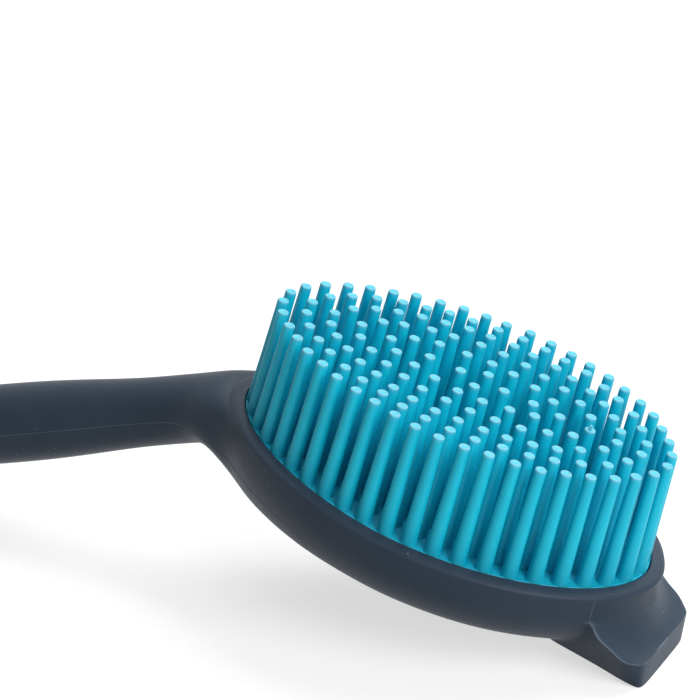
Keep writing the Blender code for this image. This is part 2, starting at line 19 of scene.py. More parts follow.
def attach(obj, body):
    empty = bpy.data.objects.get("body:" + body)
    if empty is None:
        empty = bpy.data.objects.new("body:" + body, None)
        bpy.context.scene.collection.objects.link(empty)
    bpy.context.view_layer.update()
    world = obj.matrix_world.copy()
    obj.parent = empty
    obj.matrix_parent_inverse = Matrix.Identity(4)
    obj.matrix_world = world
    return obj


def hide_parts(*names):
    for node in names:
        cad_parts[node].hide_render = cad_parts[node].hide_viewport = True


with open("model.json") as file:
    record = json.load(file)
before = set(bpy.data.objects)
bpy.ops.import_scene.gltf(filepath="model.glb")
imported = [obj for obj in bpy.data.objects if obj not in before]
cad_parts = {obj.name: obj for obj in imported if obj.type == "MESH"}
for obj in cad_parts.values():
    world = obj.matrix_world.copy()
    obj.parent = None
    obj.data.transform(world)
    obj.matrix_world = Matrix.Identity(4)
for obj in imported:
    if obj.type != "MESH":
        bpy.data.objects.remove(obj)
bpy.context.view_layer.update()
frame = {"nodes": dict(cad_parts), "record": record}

# Sizes that the CAD has too, in metres and radians
HEAD_LENGTH, HEAD_WIDTH, HEAD_DEPTH = 0.1046, 0.0710, 0.0187
BOWL_RADIUS = 0.0165
EGG_ROUNDNESS, EGG_TAPER = 1.84, 0.057
NECK_INSET, STEEPER_FROM, STEEPER_TO = 0.5, math.radians(93.0), math.radians(145.0)
RIM_WIDTH, RIM_HEIGHT, RIM_ROUND = 0.0034, 0.0003, 0.0013
PAD_THICKNESS, BRISTLE_HEIGHT = 0.0030, 0.0258
# (length, width, count, shift) of each ring of bristles, in shares of the field's half sizes
RINGS = (
    (1.000, 1.000, 44, 0.0),
    (0.875, 0.850, 36, 0.0),
    (0.745, 0.690, 32, 0.0),
    (0.605, 0.500, 24, 0.0),
    (0.445, 0.297, 16, 0.0),
    (0.275, 0.000, 2, 0.042),
    (0.120, 0.127, 4, 0.042),
)
SCRAPER_WIDTH, SCRAPER_BACK_WIDTH = 0.0358, 0.0266
SCRAPER_END_WIDTH, SCRAPER_BACK_END_WIDTH, SCRAPER_END_ROUND = 0.0241, 0.0226, 0.0002
SCRAPER_REACH, SCRAPER_THICKNESS, SCRAPER_END_SLOPE = 0.0066, 0.0059, 0.0009
# Where its back starts, in bowl radii from the head's tip, and how wide, against its end's back
SCRAPER_ROOT, SCRAPER_ROOT_WIDTH = 1.02, 0.84
# (way out to the end, width, drop) of its top's side edge, (way, width) of its back's
SCRAPER_EDGE = ((0.116, 0.994, 0.203), (0.254, 1.000, 0.415), (0.478, 0.966, 0.660),
                (0.696, 0.939, 0.870), (0.890, 0.819, 0.987))
SCRAPER_BACK = ((0.171, 0.865), (0.363, 0.895), (0.577, 0.932), (0.790, 0.984), (0.938, 0.982))
# Ways out to the end along its middle, and the power with which its top dips on the way
SCRAPER_MIDDLE, SCRAPER_HOLLOW = (0.16, 0.34, 0.57, 0.80, 1.0), 1.75
HANDLE_ANGLE, HANDLE_LENGTH = math.radians(30.0), 0.1260
NECK_REACH, NECK_DROP = 0.0110, 0.0132
NECK_DIAMETER, GRIP_DIAMETER = 0.0162, 0.0190
TAIL_THICKNESS, TAIL_WIDTH = 0.0130, 0.0200
HANG_HOLE_LENGTH, HANG_HOLE_WIDTH, HANG_HOLE_MARGIN = 0.0130, 0.0080, 0.0070
# (way from inside the wall to the neck, width, height) in shares of the neck's diameter
NECK_SECTIONS = ((0.05, 1.60, 0.95), (0.60, 1.20, 0.98), (1.30, 1.05, 0.965))
# (way along the handle, width, height) in shares of the neck, the grip, and the tail
HANDLE_FRONT_SECTIONS = ((0.12, 1.0, 0.975),)
GRIP_SECTIONS = ((0.30, 1.0, 1.0), (0.50, 1.0, 1.0), (0.70, 1.0, 1.0))
TAIL_SECTIONS = ((0.95, 1.0, 1.0), (0.985, 0.86, 0.85), (1.0, 0.5, 0.5))
# The same between grip and tail, its width a share of the tail's and its height of the grip's
WIDENING_SECTIONS = ((0.86, 1.0, 0.85),)
GAP = 0.0003

# Angles of the cage's columns round half of the head, and of its rows down the bowl
SCRAPER_ANGLES = tuple(math.radians(a) for a in (0.0, 11.0, 21.0, 30.0))
WALL_ANGLES = tuple(math.radians(a) for a in (41.0, 53.0, 66.0, 81.0, 97.0, 112.0, 126.0, 139.0))
NECK_ANGLES = tuple(math.radians(a) for a in (151.0, 165.0, 180.0))
BOWL_ANGLES = tuple(math.radians(a) for a in (15.6, 36.0, 60.0, 90.0))

HALF_LENGTH, HALF_WIDTH = HEAD_LENGTH / 2, HEAD_WIDTH / 2
PAD_HALF_LENGTH = HALF_LENGTH - RIM_WIDTH - GAP
PAD_HALF_WIDTH = HALF_WIDTH - RIM_WIDTH - GAP
BACK_Z = RIM_HEIGHT - HEAD_DEPTH
POCKET_Z = -PAD_THICKNESS - GAP
NECK_START = Vector((-HALF_LENGTH - NECK_REACH, 0, -NECK_DROP))
HANDLE_AXIS = Vector((-math.cos(HANDLE_ANGLE), 0, -math.sin(HANDLE_ANGLE)))
HANDLE_UP = Vector((-math.sin(HANDLE_ANGLE), 0, math.cos(HANDLE_ANGLE)))

MM = 0.001


def head_frame():
    """The matrix that takes the head's frame into the row frame."""
    back = frame["record"]["mounts"][0]
    up = -Vector(back["axis"]).normalized()
    matrix = Matrix.Rotation(math.atan2(up.x, up.z), 4, "Y")
    matrix.translation = Vector(back["pos_m"]) - up * BACK_Z
    return matrix


HEAD = head_frame()


def new_object(bm, name, finish):
    """Turn a bmesh in the head's frame into an object whose mesh lies in the row frame."""
    bmesh.ops.recalc_face_normals(bm, faces=bm.faces)
    bm.transform(HEAD)
    mesh = bpy.data.meshes.new(name)
    bm.to_mesh(mesh)
    bm.free()
    mesh.shade_smooth()
    made = bpy.data.objects.new(name, mesh)
    bpy.context.scene.collection.objects.link(made)
    if finish:
        mesh.materials.append(finish)
    return made


# The head's egg-shaped outline

# The angle either side of a point that gives its direction, and an outline's steps per bristle
EGG_NUDGE, EGG_STEPS = 1e-4, 64
# How early a point may come, as a share of the pitch, so that no rounding error moves it on
EGG_SLACK = 1e-6


def egg_point(half_length, half_width, angle, z=0.0):
    """The point of a tapered superellipse at an angle from the scraper's side."""
    power = 2 / EGG_ROUNDNESS
    c, s = math.cos(angle), math.sin(angle)
    along = math.copysign(abs(c) ** power, c)
    across = math.copysign(abs(s) ** power, s) * (1 + EGG_TAPER * along)
    return Vector((half_length * along, half_width * across, z))


def egg_inside(inset, angle, z):
    """The point a given step inside the head's outline."""
    point = egg_point(HALF_LENGTH, HALF_WIDTH, angle, z)
    along = egg_point(HALF_LENGTH, HALF_WIDTH, angle + EGG_NUDGE, z)
    along -= egg_point(HALF_LENGTH, HALF_WIDTH, angle - EGG_NUDGE, z)
    return point + Vector((-along.y, along.x, 0)).normalized() * inset


def even_egg(half_length, half_width, count):
    """Points at even steps along an egg's outline."""
    fine = count * EGG_STEPS
    outline = [egg_point(half_length, half_width, math.tau * i / fine) for i in range(fine)]
    steps = [(outline[(i + 1) % fine] - p).length for i, p in enumerate(outline)]
    pitch = sum(steps) / count
    points, walked = [], 0.0
    for point, step in zip(outline, steps):
        if len(points) < count and walked >= pitch * (len(points) - EGG_SLACK):
            points.append(point)
        walked += step
    return points


# The body's cage

SMOOTHING_ROUNDS = 12


def spline_scale(count):
    """How much wider a ring of the cage is than the smooth round that it makes."""
    return 3 / (2 + math.cos(math.tau / count))


def wall_inset(inset, angle):
    """The wall's inset, which grows less towards the neck, where the wall is steeper."""
    from_front = min(angle, math.tau - angle)
    share = (from_front - STEEPER_FROM) / (STEEPER_TO - STEEPER_FROM)
    return inset * (1 - (1 - NECK_INSET) * min(max(share, 0), 1))


def counter_smoothing(points, closed=True):
    """Move a row of cage points so that its smoothed curve runs through their old places."""
    moved = [p.copy() for p in points]
    last = len(moved) - 1
    for _ in range(SMOOTHING_ROUNDS):
        smoothed = []
        for i, point in enumerate(moved):
            if closed or 0 < i < last:
                point = (moved[i - 1] + 4 * point + moved[(i + 1) % (last + 1)]) / 6
            smoothed.append(point)
        moved = [m + p - s for m, p, s in zip(moved, points, smoothed)]
    return moved


def half_to_full(angles):
    """Mirror the angles of one half onto the other."""
    return [*angles, *(math.tau - a for a in reversed(angles) if 0 < a < math.pi)]


COLUMNS = half_to_full((*SCRAPER_ANGLES, *WALL_ANGLES, *NECK_ANGLES))
SCRAPER_HALF = len(SCRAPER_ANGLES) - 1
NECK_HALF = len(NECK_ANGLES) - 1
NECK_COLUMN = len(SCRAPER_ANGLES) + len(WALL_ANGLES) + NECK_HALF

# (outward step from the pocket's outline, z) of the pocket and the land's inner edge
POCKET_SECTION = (
    (-6.0 * MM, POCKET_Z),
    (-0.5 * MM, POCKET_Z),
    (0.0, POCKET_Z + 0.5 * MM),
    (0.0, RIM_HEIGHT - 0.45 * MM),
    (0.08 * MM, RIM_HEIGHT - 0.06 * MM),
    (0.45 * MM, RIM_HEIGHT + 0.02 * MM),
)
# (inset from the outer outline, z) of the land, which falls off to a soft outer edge
BEAD_SECTION = (
    (1.45 * MM, RIM_HEIGHT - 0.12 * MM),
    (0.80 * MM, RIM_HEIGHT - 0.30 * MM),
    (0.34 * MM, RIM_HEIGHT - 0.55 * MM),
    (0.05 * MM, RIM_HEIGHT - 0.90 * MM),
    (0.0, RIM_HEIGHT - RIM_ROUND),
)
# What scales the back's outer ring to the one inside it
BACK_FACE = Vector((0.8, 0.8, 1))
WALL_START = len(POCKET_SECTION) + len(BEAD_SECTION)
NECK_TOP_RING = WALL_START - 1
SCRAPER_TOP_RING = WALL_START
BACK_RING = WALL_START + len(BOWL_ANGLES) - 1


def bowl_section():
    """(inset, z) of the bowl's rows below the land, down a quarter circle to the flat back."""
    centre_z = BACK_Z + BOWL_RADIUS
    section = [(0, RIM_HEIGHT - RIM_ROUND)]
    for angle in BOWL_ANGLES:
        section.append((BOWL_RADIUS * (1 - math.cos(angle)),
                        centre_z - BOWL_RADIUS * math.sin(angle)))
    return [tuple(p) for p in counter_smoothing([Vector(p) for p in section], closed=False)][1:]


def join_rings(bm, first, second, skip=()):
    """A band of four-sided faces between two rings, but not in the columns to skip."""
    count = len(first)
    for i in range(count):
        if i not in skip:
            j = (i + 1) % count
            bm.faces.new((first[i], first[j], second[j], second[i]))


def add_ring(bm, points):
    """New vertices at the points."""
    return [bm.verts.new(p) for p in points]


def scraper_root(ring):
    """Move the back ring's points under the scraper out to where the scraper's back starts."""
    for i in range(-SCRAPER_HALF, SCRAPER_HALF + 1):
        width = SCRAPER_BACK_WIDTH * SCRAPER_ROOT_WIDTH / 2 * i / SCRAPER_HALF
        ring[i].co = Vector((HALF_LENGTH - BOWL_RADIUS * SCRAPER_ROOT, width, ring[i].co.z))


def opening_loop(rings, middle, half, top, bottom):
    """The loop round an opening in the wall, from the middle of its top edge."""
    count = len(COLUMNS)
    side = 1 if middle == 0 else -1
    across = [(middle + side * i) % count for i in range(-half, half + 1)]
    plus, minus = across[half:], across[:half]
    loop = [rings[top][c] for c in plus]
    loop += [rings[r][plus[-1]] for r in range(top + 1, bottom)]
    loop += [rings[bottom][c] for c in reversed(plus)]
    loop += [rings[bottom][c] for c in reversed(minus)]
    loop += [rings[r][minus[0]] for r in range(bottom - 1, top, -1)]
    loop += [rings[top][c] for c in minus]
    return loop


def handle_section(centre, half_width, half_height, up, count):
    """Points of an upright ellipse across the handle."""
    points = []
    for i in range(count):
        angle = math.tau * i / count
        points.append(centre + up * (half_height * math.cos(angle))
                      + Vector((0, half_width * math.sin(angle), 0)))
    return points


def handle_path():
    """(centre, half width, half height, up) of the handle's sections, from the head's wall on."""
    neck, grip = NECK_DIAMETER / 2, GRIP_DIAMETER / 2
    tail_width, tail_height = TAIL_WIDTH / 2, TAIL_THICKNESS / 2
    half_bend = (Vector((0, 0, 1)) + HANDLE_UP).normalized()
    rise = NECK_START - HANDLE_AXIS * NECK_REACH
    path = []
    for way, width, height in NECK_SECTIONS:
        up = half_bend if way < 1 else HANDLE_UP
        path.append((rise.lerp(NECK_START, way), neck * width, neck * height, up))
    tables = (
        (HANDLE_FRONT_SECTIONS, neck, neck),
        (GRIP_SECTIONS, grip, grip),
        (WIDENING_SECTIONS, tail_width, grip),
        (TAIL_SECTIONS, tail_width, tail_height),
    )
    for table, half_width, half_height in tables:
        for way, width, height in table:
            centre = NECK_START + HANDLE_AXIS * HANDLE_LENGTH * way
            path.append((centre, half_width * width, half_height * height, HANDLE_UP))
    return path


def scraper_sections(root):
    """The loops of the scraper's cage, from the bowl's wall out to the blunt end."""
    across, half = SCRAPER_HALF, len(root) // 2
    below = half - across
    back_x, top_z = HALF_LENGTH + SCRAPER_REACH, BACK_Z + SCRAPER_THICKNESS
    top_x = back_x - SCRAPER_END_SLOPE
    sections = []
    for edge, back, middle in zip(SCRAPER_EDGE, SCRAPER_BACK, SCRAPER_MIDDLE):
        points = [None] * len(root)
        drop_middle = 1 - (1 - middle) ** SCRAPER_HOLLOW
        for side in (1, -1):
            way, width, drop = edge
            wall = root[side * across].co
            top = Vector((wall.x + (top_x - wall.x) * way, side * SCRAPER_WIDTH / 2 * width,
                          wall.z + (top_z - wall.z) * drop))
            way, width = back
            heel = root[side * below].co
            low = Vector((heel.x + (back_x - heel.x) * way,
                          side * SCRAPER_BACK_WIDTH / 2 * width, BACK_Z))
            points[side * across], points[side * below] = top, low
            for i in range(across):
                part = i / (across - 1)
                end_y = side * SCRAPER_END_WIDTH / 2 * part
                low_y = side * SCRAPER_BACK_END_WIDTH / 2 * part
                rounded = SCRAPER_END_ROUND * part ** 4
                wall, heel = root[side * i].co, root[half - side * i].co
                point = wall.lerp(Vector((top_x - rounded, end_y, 0)), middle)
                point.z = wall.z + (top_z - wall.z) * drop_middle
                points[side * i] = point
                low = heel.lerp(Vector((back_x - rounded, low_y, heel.z)), middle)
                low.z = BACK_Z
                points[half - side * i] = low
        sections.append(points)
    for corner, row in ((across, range(across - 1, -across, -1)),
                        (below, range(below + 1, half + across))):
        path = [(points, corner) for points in sections]
        path += [(sections[-1], i) for i in row]
        path += [(points, -corner) for points in reversed(sections)]
        old = [root[corner].co, *(points[i] for points, i in path), root[-corner].co]
        for (points, i), new in zip(path, counter_smoothing(old, closed=False)[1:]):
            points[i] = new
    for points in sections:
        for side in (1, -1):
            top, low = points[side * across], points[side * below]
            for i in range(across + 1, below):
                points[side * i] = top.lerp(low, (i - across) / (below - across))
    return sections


def cap_scraper(bm, loop, crease):
    """The scraper's blunt end, with a sharp edge along its top and its back."""
    across, half = SCRAPER_HALF, len(loop) // 2
    steps = half - 2 * across
    top = [loop[i] for i in range(-across, across + 1)]
    back = [loop[half - i] for i in range(-across, across + 1)]
    rows = [top]
    for k in range(1, steps):
        inner = [bm.verts.new(t.co.lerp(b.co, k / steps)) for t, b in zip(top[1:-1], back[1:-1])]
        rows.append([loop[-across - k], *inner, loop[across + k]])
    rows.append(back)
    for upper, lower in zip(rows, rows[1:]):
        for i in range(len(upper) - 1):
            bm.faces.new((upper[i], upper[i + 1], lower[i + 1], lower[i]))
    for row in (top, back):
        for first, second in zip(row, row[1:]):
            bm.edges.get((first, second))[crease] = 1.0


def body_cage():
    """Pocket, rim, bowl, scraper and handle of the silicone body in one cage."""
    bm = bmesh.new()
    crease = bm.edges.layers.float.new("crease_edge")
    rings = []
    for step, z in POCKET_SECTION:
        length, width = PAD_HALF_LENGTH + GAP + step, PAD_HALF_WIDTH + GAP + step
        rings.append(add_ring(bm, counter_smoothing(
            [egg_point(length, width, a, z) for a in COLUMNS])))
    for inset, z in BEAD_SECTION:
        rings.append(add_ring(bm, counter_smoothing([egg_inside(inset, a, z) for a in COLUMNS])))
    for inset, z in bowl_section():
        points = [egg_inside(wall_inset(inset, a), a, z) for a in COLUMNS]
        rings.append(add_ring(bm, counter_smoothing(points)))
    scraper_root(rings[BACK_RING])
    rings.append(add_ring(bm, [v.co * BACK_FACE for v in rings[BACK_RING]]))

    count = len(COLUMNS)
    neck_faces = {(NECK_COLUMN + i) % count for i in range(-NECK_HALF, NECK_HALF)}
    scraper_faces = {i % count for i in range(-SCRAPER_HALF, SCRAPER_HALF)}
    for r in range(len(rings) - 1):
        skip = set()
        if NECK_TOP_RING <= r < BACK_RING:
            skip |= neck_faces
        if SCRAPER_TOP_RING <= r < BACK_RING:
            skip |= scraper_faces
        join_rings(bm, rings[r], rings[r + 1], skip)
    bm.faces.new(rings[0])
    bm.faces.new(rings[-1])

    loop = opening_loop(rings, NECK_COLUMN, NECK_HALF, NECK_TOP_RING, BACK_RING)
    swell = spline_scale(len(loop))
    for centre, half_width, half_height, up in handle_path():
        points = handle_section(centre, half_width * swell, half_height * swell, up, len(loop))
        ring = add_ring(bm, points)
        join_rings(bm, loop, ring)
        loop = ring
    bm.faces.new(loop)

    loop = opening_loop(rings, 0, SCRAPER_HALF, SCRAPER_TOP_RING, BACK_RING)
    for points in scraper_sections(loop):
        ring = add_ring(bm, points)
        join_rings(bm, loop, ring)
        for i, vert in enumerate(ring):
            if min(i, len(ring) - i) == SCRAPER_HALF or \
                    abs(len(ring) // 2 - i) == SCRAPER_HALF:
                bm.edges.get((loop[i], vert))[crease] = 1.0
        loop = ring
    cap_scraper(bm, loop, crease)
    bmesh.ops.delete(bm, geom=[v for v in bm.verts if not v.link_faces], context="VERTS")
    return bm


HOLE_ARC_STEPS = 15


def hanging_hole_cutter():
    """A prism of the hole's long round outline, through the tail."""
    bm = bmesh.new()
    straight = (HANG_HOLE_LENGTH - HANG_HOLE_WIDTH) / 2
    radius = HANG_HOLE_WIDTH / 2
    from_end = HANDLE_LENGTH - HANG_HOLE_MARGIN - HANG_HOLE_LENGTH / 2
    middle = NECK_START + HANDLE_AXIS * from_end
    outline = []
    for side in (1, -1):
        for i in range(HOLE_ARC_STEPS + 1):
            angle = math.pi * i / HOLE_ARC_STEPS - math.pi / 2
            outline.append(middle + HANDLE_AXIS * side * (straight + radius * math.cos(angle))
                           + Vector((0, side * radius * math.sin(angle), 0)))
    depth = HANDLE_UP * TAIL_THICKNESS
    low = add_ring(bm, [p - depth for p in outline])
    high = add_ring(bm, [p + depth for p in outline])
    join_rings(bm, low, high)
    bm.faces.new(low)
    bm.faces.new(high)
    return new_object(bm, "hanging_hole_cutter", None)


SMOOTH_LEVELS = 3
# Edges over this angle are rounded, by this much and in this many steps
SHARP, EDGE_ROUNDING, EDGE_SEGMENTS = math.radians(32), 0.3 * MM, 3
# The spacing of the points that stand for a sharp edge, and how far from them the paler edge tone
# reaches, as a share of the rounding; the tone is partly wear and partly a painted highlight on the
# rounding
WEAR_AND_HIGHLIGHT_SPACING, WEAR_AND_HIGHLIGHT_REACH = 0.1 * MM, 0.6


def finished_mesh(body):
    """A mesh of the object as its modifiers leave it."""
    bpy.context.view_layer.update()
    return bpy.data.meshes.new_from_object(body.evaluated_get(bpy.context.evaluated_depsgraph_get()))


def mark_wear_and_highlight_edges(mesh, sharp_mesh):
    """Store 1 on the points of the strips that round the sharp edges, and 0 elsewhere: the mask of a
    paler edge tone that is partly wear and partly a painted highlight.
    """
    bm = bmesh.new()
    bm.from_mesh(sharp_mesh)
    places = []
    for edge in bm.edges:
        if edge.calc_face_angle(0) > SHARP:
            first, second = edge.verts[0].co, edge.verts[1].co
            steps = 1 + int((second - first).length / WEAR_AND_HIGHLIGHT_SPACING)
            places += [first.lerp(second, i / steps) for i in range(steps + 1)]
    bm.free()
    tree = KDTree(len(places))
    for i, place in enumerate(places):
        tree.insert(place, i)
    tree.balance()
    near = EDGE_ROUNDING * WEAR_AND_HIGHLIGHT_REACH
    values = [1.0 if tree.find(v.co)[2] < near else 0.0 for v in mesh.vertices]
    mesh.attributes.new("wear_and_highlight_edge", "FLOAT", "POINT").data.foreach_set("value", values)


def build_body(finish):
    """Smooth the cage, cut the hanging hole and round the sharp edges."""
    body = new_object(body_cage(), "silicone_body", finish)
    smooth = body.modifiers.new("smooth_form", "SUBSURF")
    smooth.levels = smooth.render_levels = SMOOTH_LEVELS
    cutter = hanging_hole_cutter()
    cut = body.modifiers.new("hanging_hole", "BOOLEAN")
    cut.operation, cut.solver, cut.object = "DIFFERENCE", "EXACT", cutter
    sharp_mesh = finished_mesh(body)
    edges = body.modifiers.new("round_edges", "BEVEL")
    edges.limit_method, edges.angle_limit = "ANGLE", SHARP
    edges.width, edges.segments = EDGE_ROUNDING, EDGE_SEGMENTS
    done = finished_mesh(body)
    body.modifiers.clear()
    body.data = done
    bpy.data.objects.remove(cutter, do_unlink=True)
    mark_wear_and_highlight_edges(done, sharp_mesh)
    bpy.data.meshes.remove(sharp_mesh)
    return body


# Fine raised lines that the mould leaves on the body

LINE_SIDES = 6
# How deep a line's middle lies, in radii, its radius at the ends as a share, and how fast it grows
LINE_SINK, LINE_END, LINE_GROWTH = 0.45, 0.15, 4
PARTING_RADIUS, WITNESS_RADIUS = 0.10 * MM, 0.14 * MM
# The parting line: where it starts along the handle, its steps there and in the neck and wall,
# and how high it climbs before it runs level round the head
PARTING_START, PARTING_HANDLE_STEPS = 0.82, 70
PARTING_STEP, PARTING_STEPS, PARTING_RISE = 0.5 * MM, 110, 2.4 * MM
# The witness line: its start from the outline's point beside the scraper, and its steps (x, z)
WITNESS_START, WITNESS_STEP, WITNESS_STEPS = (-0.2 * MM, -0.75 * MM), (0.004 * MM, -0.19 * MM), 30


def body_tree(body):
    """The finished body in the head's frame, ready for rays."""
    back = HEAD.inverted()
    points = [back @ v.co for v in body.data.vertices]
    return BVHTree.FromPolygons(points, [tuple(p.vertices) for p in body.data.polygons])


def line_on_body(bm, tree, side, route, radius):
    """A ridge where rays across the brush at the route's (x, z) meet the body on one side."""
    hits = []
    for x, z in route:
        place, normal, _, _ = tree.ray_cast(Vector((x, side * HEAD_WIDTH, z)), Vector((0, -side, 0)))
        if place:
            hits.append((place, normal))
    previous = None
    last = len(hits) - 1
    for k, (place, normal) in enumerate(hits):
        ahead = (hits[min(k + 1, last)][0] - hits[max(k - 1, 0)][0]).normalized()
        beside = ahead.cross(normal).normalized()
        width = radius * min(1, LINE_END + LINE_GROWTH * k / last,
                             LINE_END + LINE_GROWTH * (last - k) / last)
        ring = []
        for i in range(LINE_SIDES):
            angle = math.tau * i / LINE_SIDES
            ring.append(bm.verts.new(place + (normal * (math.cos(angle) - LINE_SINK)
                                              + beside * math.sin(angle)) * width))
        if previous:
            join_rings(bm, previous, ring)
        else:
            bm.faces.new(ring)
        previous = ring
    bm.faces.new(previous)


def parting_route():
    """(x, z) from along the grip's side, down the neck and round the bowl's wall."""
    route = []
    for i in range(PARTING_HANDLE_STEPS):
        back = 1 - i / PARTING_HANDLE_STEPS
        point = NECK_START + HANDLE_AXIS * HANDLE_LENGTH * PARTING_START * back
        route.append((point.x, point.z))
    for i in range(PARTING_STEPS):
        way = PARTING_STEP * i
        bent = PARTING_RISE * (1 - math.exp(-math.tan(HANDLE_ANGLE) * way / PARTING_RISE))
        route.append((NECK_START.x + way, NECK_START.z + bent))
    return route


def build_mould_lines(tree, finish):
    """The witness line beside the scraper and the parting line, on both sides."""
    bm = bmesh.new()
    corner = egg_point(HALF_LENGTH, HALF_WIDTH, SCRAPER_ANGLES[-1])
    drop = [(corner.x + WITNESS_START[0] + WITNESS_STEP[0] * i,
             WITNESS_START[1] + WITNESS_STEP[1] * i) for i in range(WITNESS_STEPS)]
    for side in (1, -1):
        line_on_body(bm, tree, side, drop, WITNESS_RADIUS)
        line_on_body(bm, tree, side, parting_route(), PARTING_RADIUS)
    return new_object(bm, "mould_lines", finish)


# Bristles and pad

BRISTLE_SIDES = 20
# (radius, height, tone) up one bristle: foot, taper, soft edge, raised ring round a cap.
# A low tone darkens the foot as painted shade; a high tone pales the cap, partly as frosting and
# partly as a painted highlight on its ring.
BRISTLE_PROFILE = (
    (2.02 * MM, -0.30 * MM, 0.0), (1.90 * MM, 0.10 * MM, 0.0), (1.80 * MM, 0.45 * MM, 0.0),
    (1.74 * MM, 1.0 * MM, 0.02), (1.70 * MM, 2.0 * MM, 0.05), (1.60 * MM, 6.0 * MM, 0.11),
    (1.49 * MM, 11.5 * MM, 0.15), (1.39 * MM, 17.0 * MM, 0.16), (1.31 * MM, 22.0 * MM, 0.18),
    (1.28 * MM, 24.2 * MM, 0.20), (1.265 * MM, 25.1 * MM, 0.28), (1.25 * MM, 25.48 * MM, 0.55),
    (1.20 * MM, 25.66 * MM, 0.90), (1.10 * MM, 25.77 * MM, 1.0), (0.98 * MM, 25.79 * MM, 1.0),
    (0.86 * MM, 25.74 * MM, 0.65), (0.66 * MM, 25.68 * MM, 0.48), (0.30 * MM, 25.66 * MM, 0.45),
)
# A tiny nib that the mould left on one bristle's tip
NIB_PROFILE = (
    (0.48 * MM, 25.64 * MM, 0.8), (0.36 * MM, 25.92 * MM, 0.8), (0.32 * MM, 26.20 * MM, 0.8),
    (0.38 * MM, 26.46 * MM, 0.8), (0.30 * MM, 26.72 * MM, 0.8), (0.12 * MM, 26.82 * MM, 0.8),
)
NIB_BRISTLE, NIB_SIDES = 112, 10
FIELD_MARGIN = 1.7 * MM
# The tips stand a little closer together than the feet, and each one leans by its own small bit
TIP_GATHER = 0.022
TIP_LEAN = 0.16 * MM
TIP_BOW = 0.12 * MM
STRETCH_SPREAD = 0.003
SEED = 7


def bristle_places():
    """Where the bristles stand, ring by ring from the outside."""
    half_length, half_width = PAD_HALF_LENGTH - FIELD_MARGIN, PAD_HALF_WIDTH - FIELD_MARGIN
    for length, width, count, shift in RINGS:
        for place in even_egg(half_length * length, half_width * width, count):
            place.x += half_length * shift
            yield place


def turned(bm, spine, profile, sides, turn):
    """A round form whose centre follows the spine; its last ring is closed to a point."""
    pale = bm.verts.layers.float["painted_shade_and_highlight_tone"]
    previous = None
    for radius, height, tone in profile:
        centre = spine(height)
        ring = []
        for i in range(sides):
            angle = turn + math.tau * i / sides
            vert = bm.verts.new(centre + Vector((radius * math.cos(angle),
                                                 radius * math.sin(angle), 0)))
            vert[pale] = tone
            ring.append(vert)
        if previous:
            join_rings(bm, previous, ring)
        previous = ring
    tip = bm.verts.new(centre)
    tip[pale] = tone
    for i in range(sides):
        bm.faces.new((previous[i], previous[(i + 1) % sides], tip))


def add_bristle(bm, place, draw, nib):
    """One bristle, with its own lean, bow and height, and a nib on its tip if asked."""
    lean = -place * TIP_GATHER + Vector((draw.gauss(0, 1), draw.gauss(0, 1), 0)) * TIP_LEAN
    bow = Vector((draw.gauss(0, 1), draw.gauss(0, 1), 0)) * TIP_BOW
    stretch = 1 + draw.gauss(0, STRETCH_SPREAD)

    def spine(height):
        share = max(height / BRISTLE_HEIGHT, 0)
        return place + lean * share + bow * share * (1 - share) + Vector((0, 0, height * stretch))

    turned(bm, spine, BRISTLE_PROFILE, BRISTLE_SIDES, draw.random() * math.tau)
    if nib:
        turned(bm, spine, NIB_PROFILE, NIB_SIDES, 0)


# (inset from the pad's outline, z) from under the pad's edge over its lip to its face
PAD_SECTION = (
    (1.0 * MM, -PAD_THICKNESS), (0.15 * MM, -PAD_THICKNESS), (0.0, -PAD_THICKNESS + 0.2 * MM),
    (0.0, -0.14 * MM), (0.06 * MM, 0.02 * MM), (0.20 * MM, 0.10 * MM), (0.36 * MM, 0.09 * MM),
    (0.55 * MM, 0.03 * MM), (0.80 * MM, 0.0), (1.4 * MM, 0.0), (3.0 * MM, 0.0),
)
PAD_POINTS = 240


def build_bristles(finish):
    """The pad and every bristle in one mesh, with each point's tone: painted shade on the pad and
    the feet, and a paler cap that is partly frosting and partly a painted highlight.
    """
    bm = bmesh.new()
    bm.verts.layers.float.new("painted_shade_and_highlight_tone")
    previous = None
    half_length, half_width = PAD_HALF_LENGTH + GAP / 2, PAD_HALF_WIDTH + GAP / 2
    for inset, z in PAD_SECTION:
        ring = add_ring(bm, [egg_point(half_length - inset, half_width - inset,
                                       math.tau * i / PAD_POINTS, z) for i in range(PAD_POINTS)])
        if previous:
            join_rings(bm, previous, ring)
        else:
            bm.faces.new(ring)
        previous = ring
    bm.faces.new(previous)
    draw = random.Random(SEED)
    for k, place in enumerate(bristle_places()):
        add_bristle(bm, place, draw, k == NIB_BRISTLE)
    return new_object(bm, "bristle_field", finish)


# Materials

BLACK, SPECK_GREY, WHITE = (0, 0, 0), (0.6, 0.6, 0.6), (1, 1, 1)
GRAIN_DEPTH = 0.02 * MM
SILICONE_IOR = 1.42


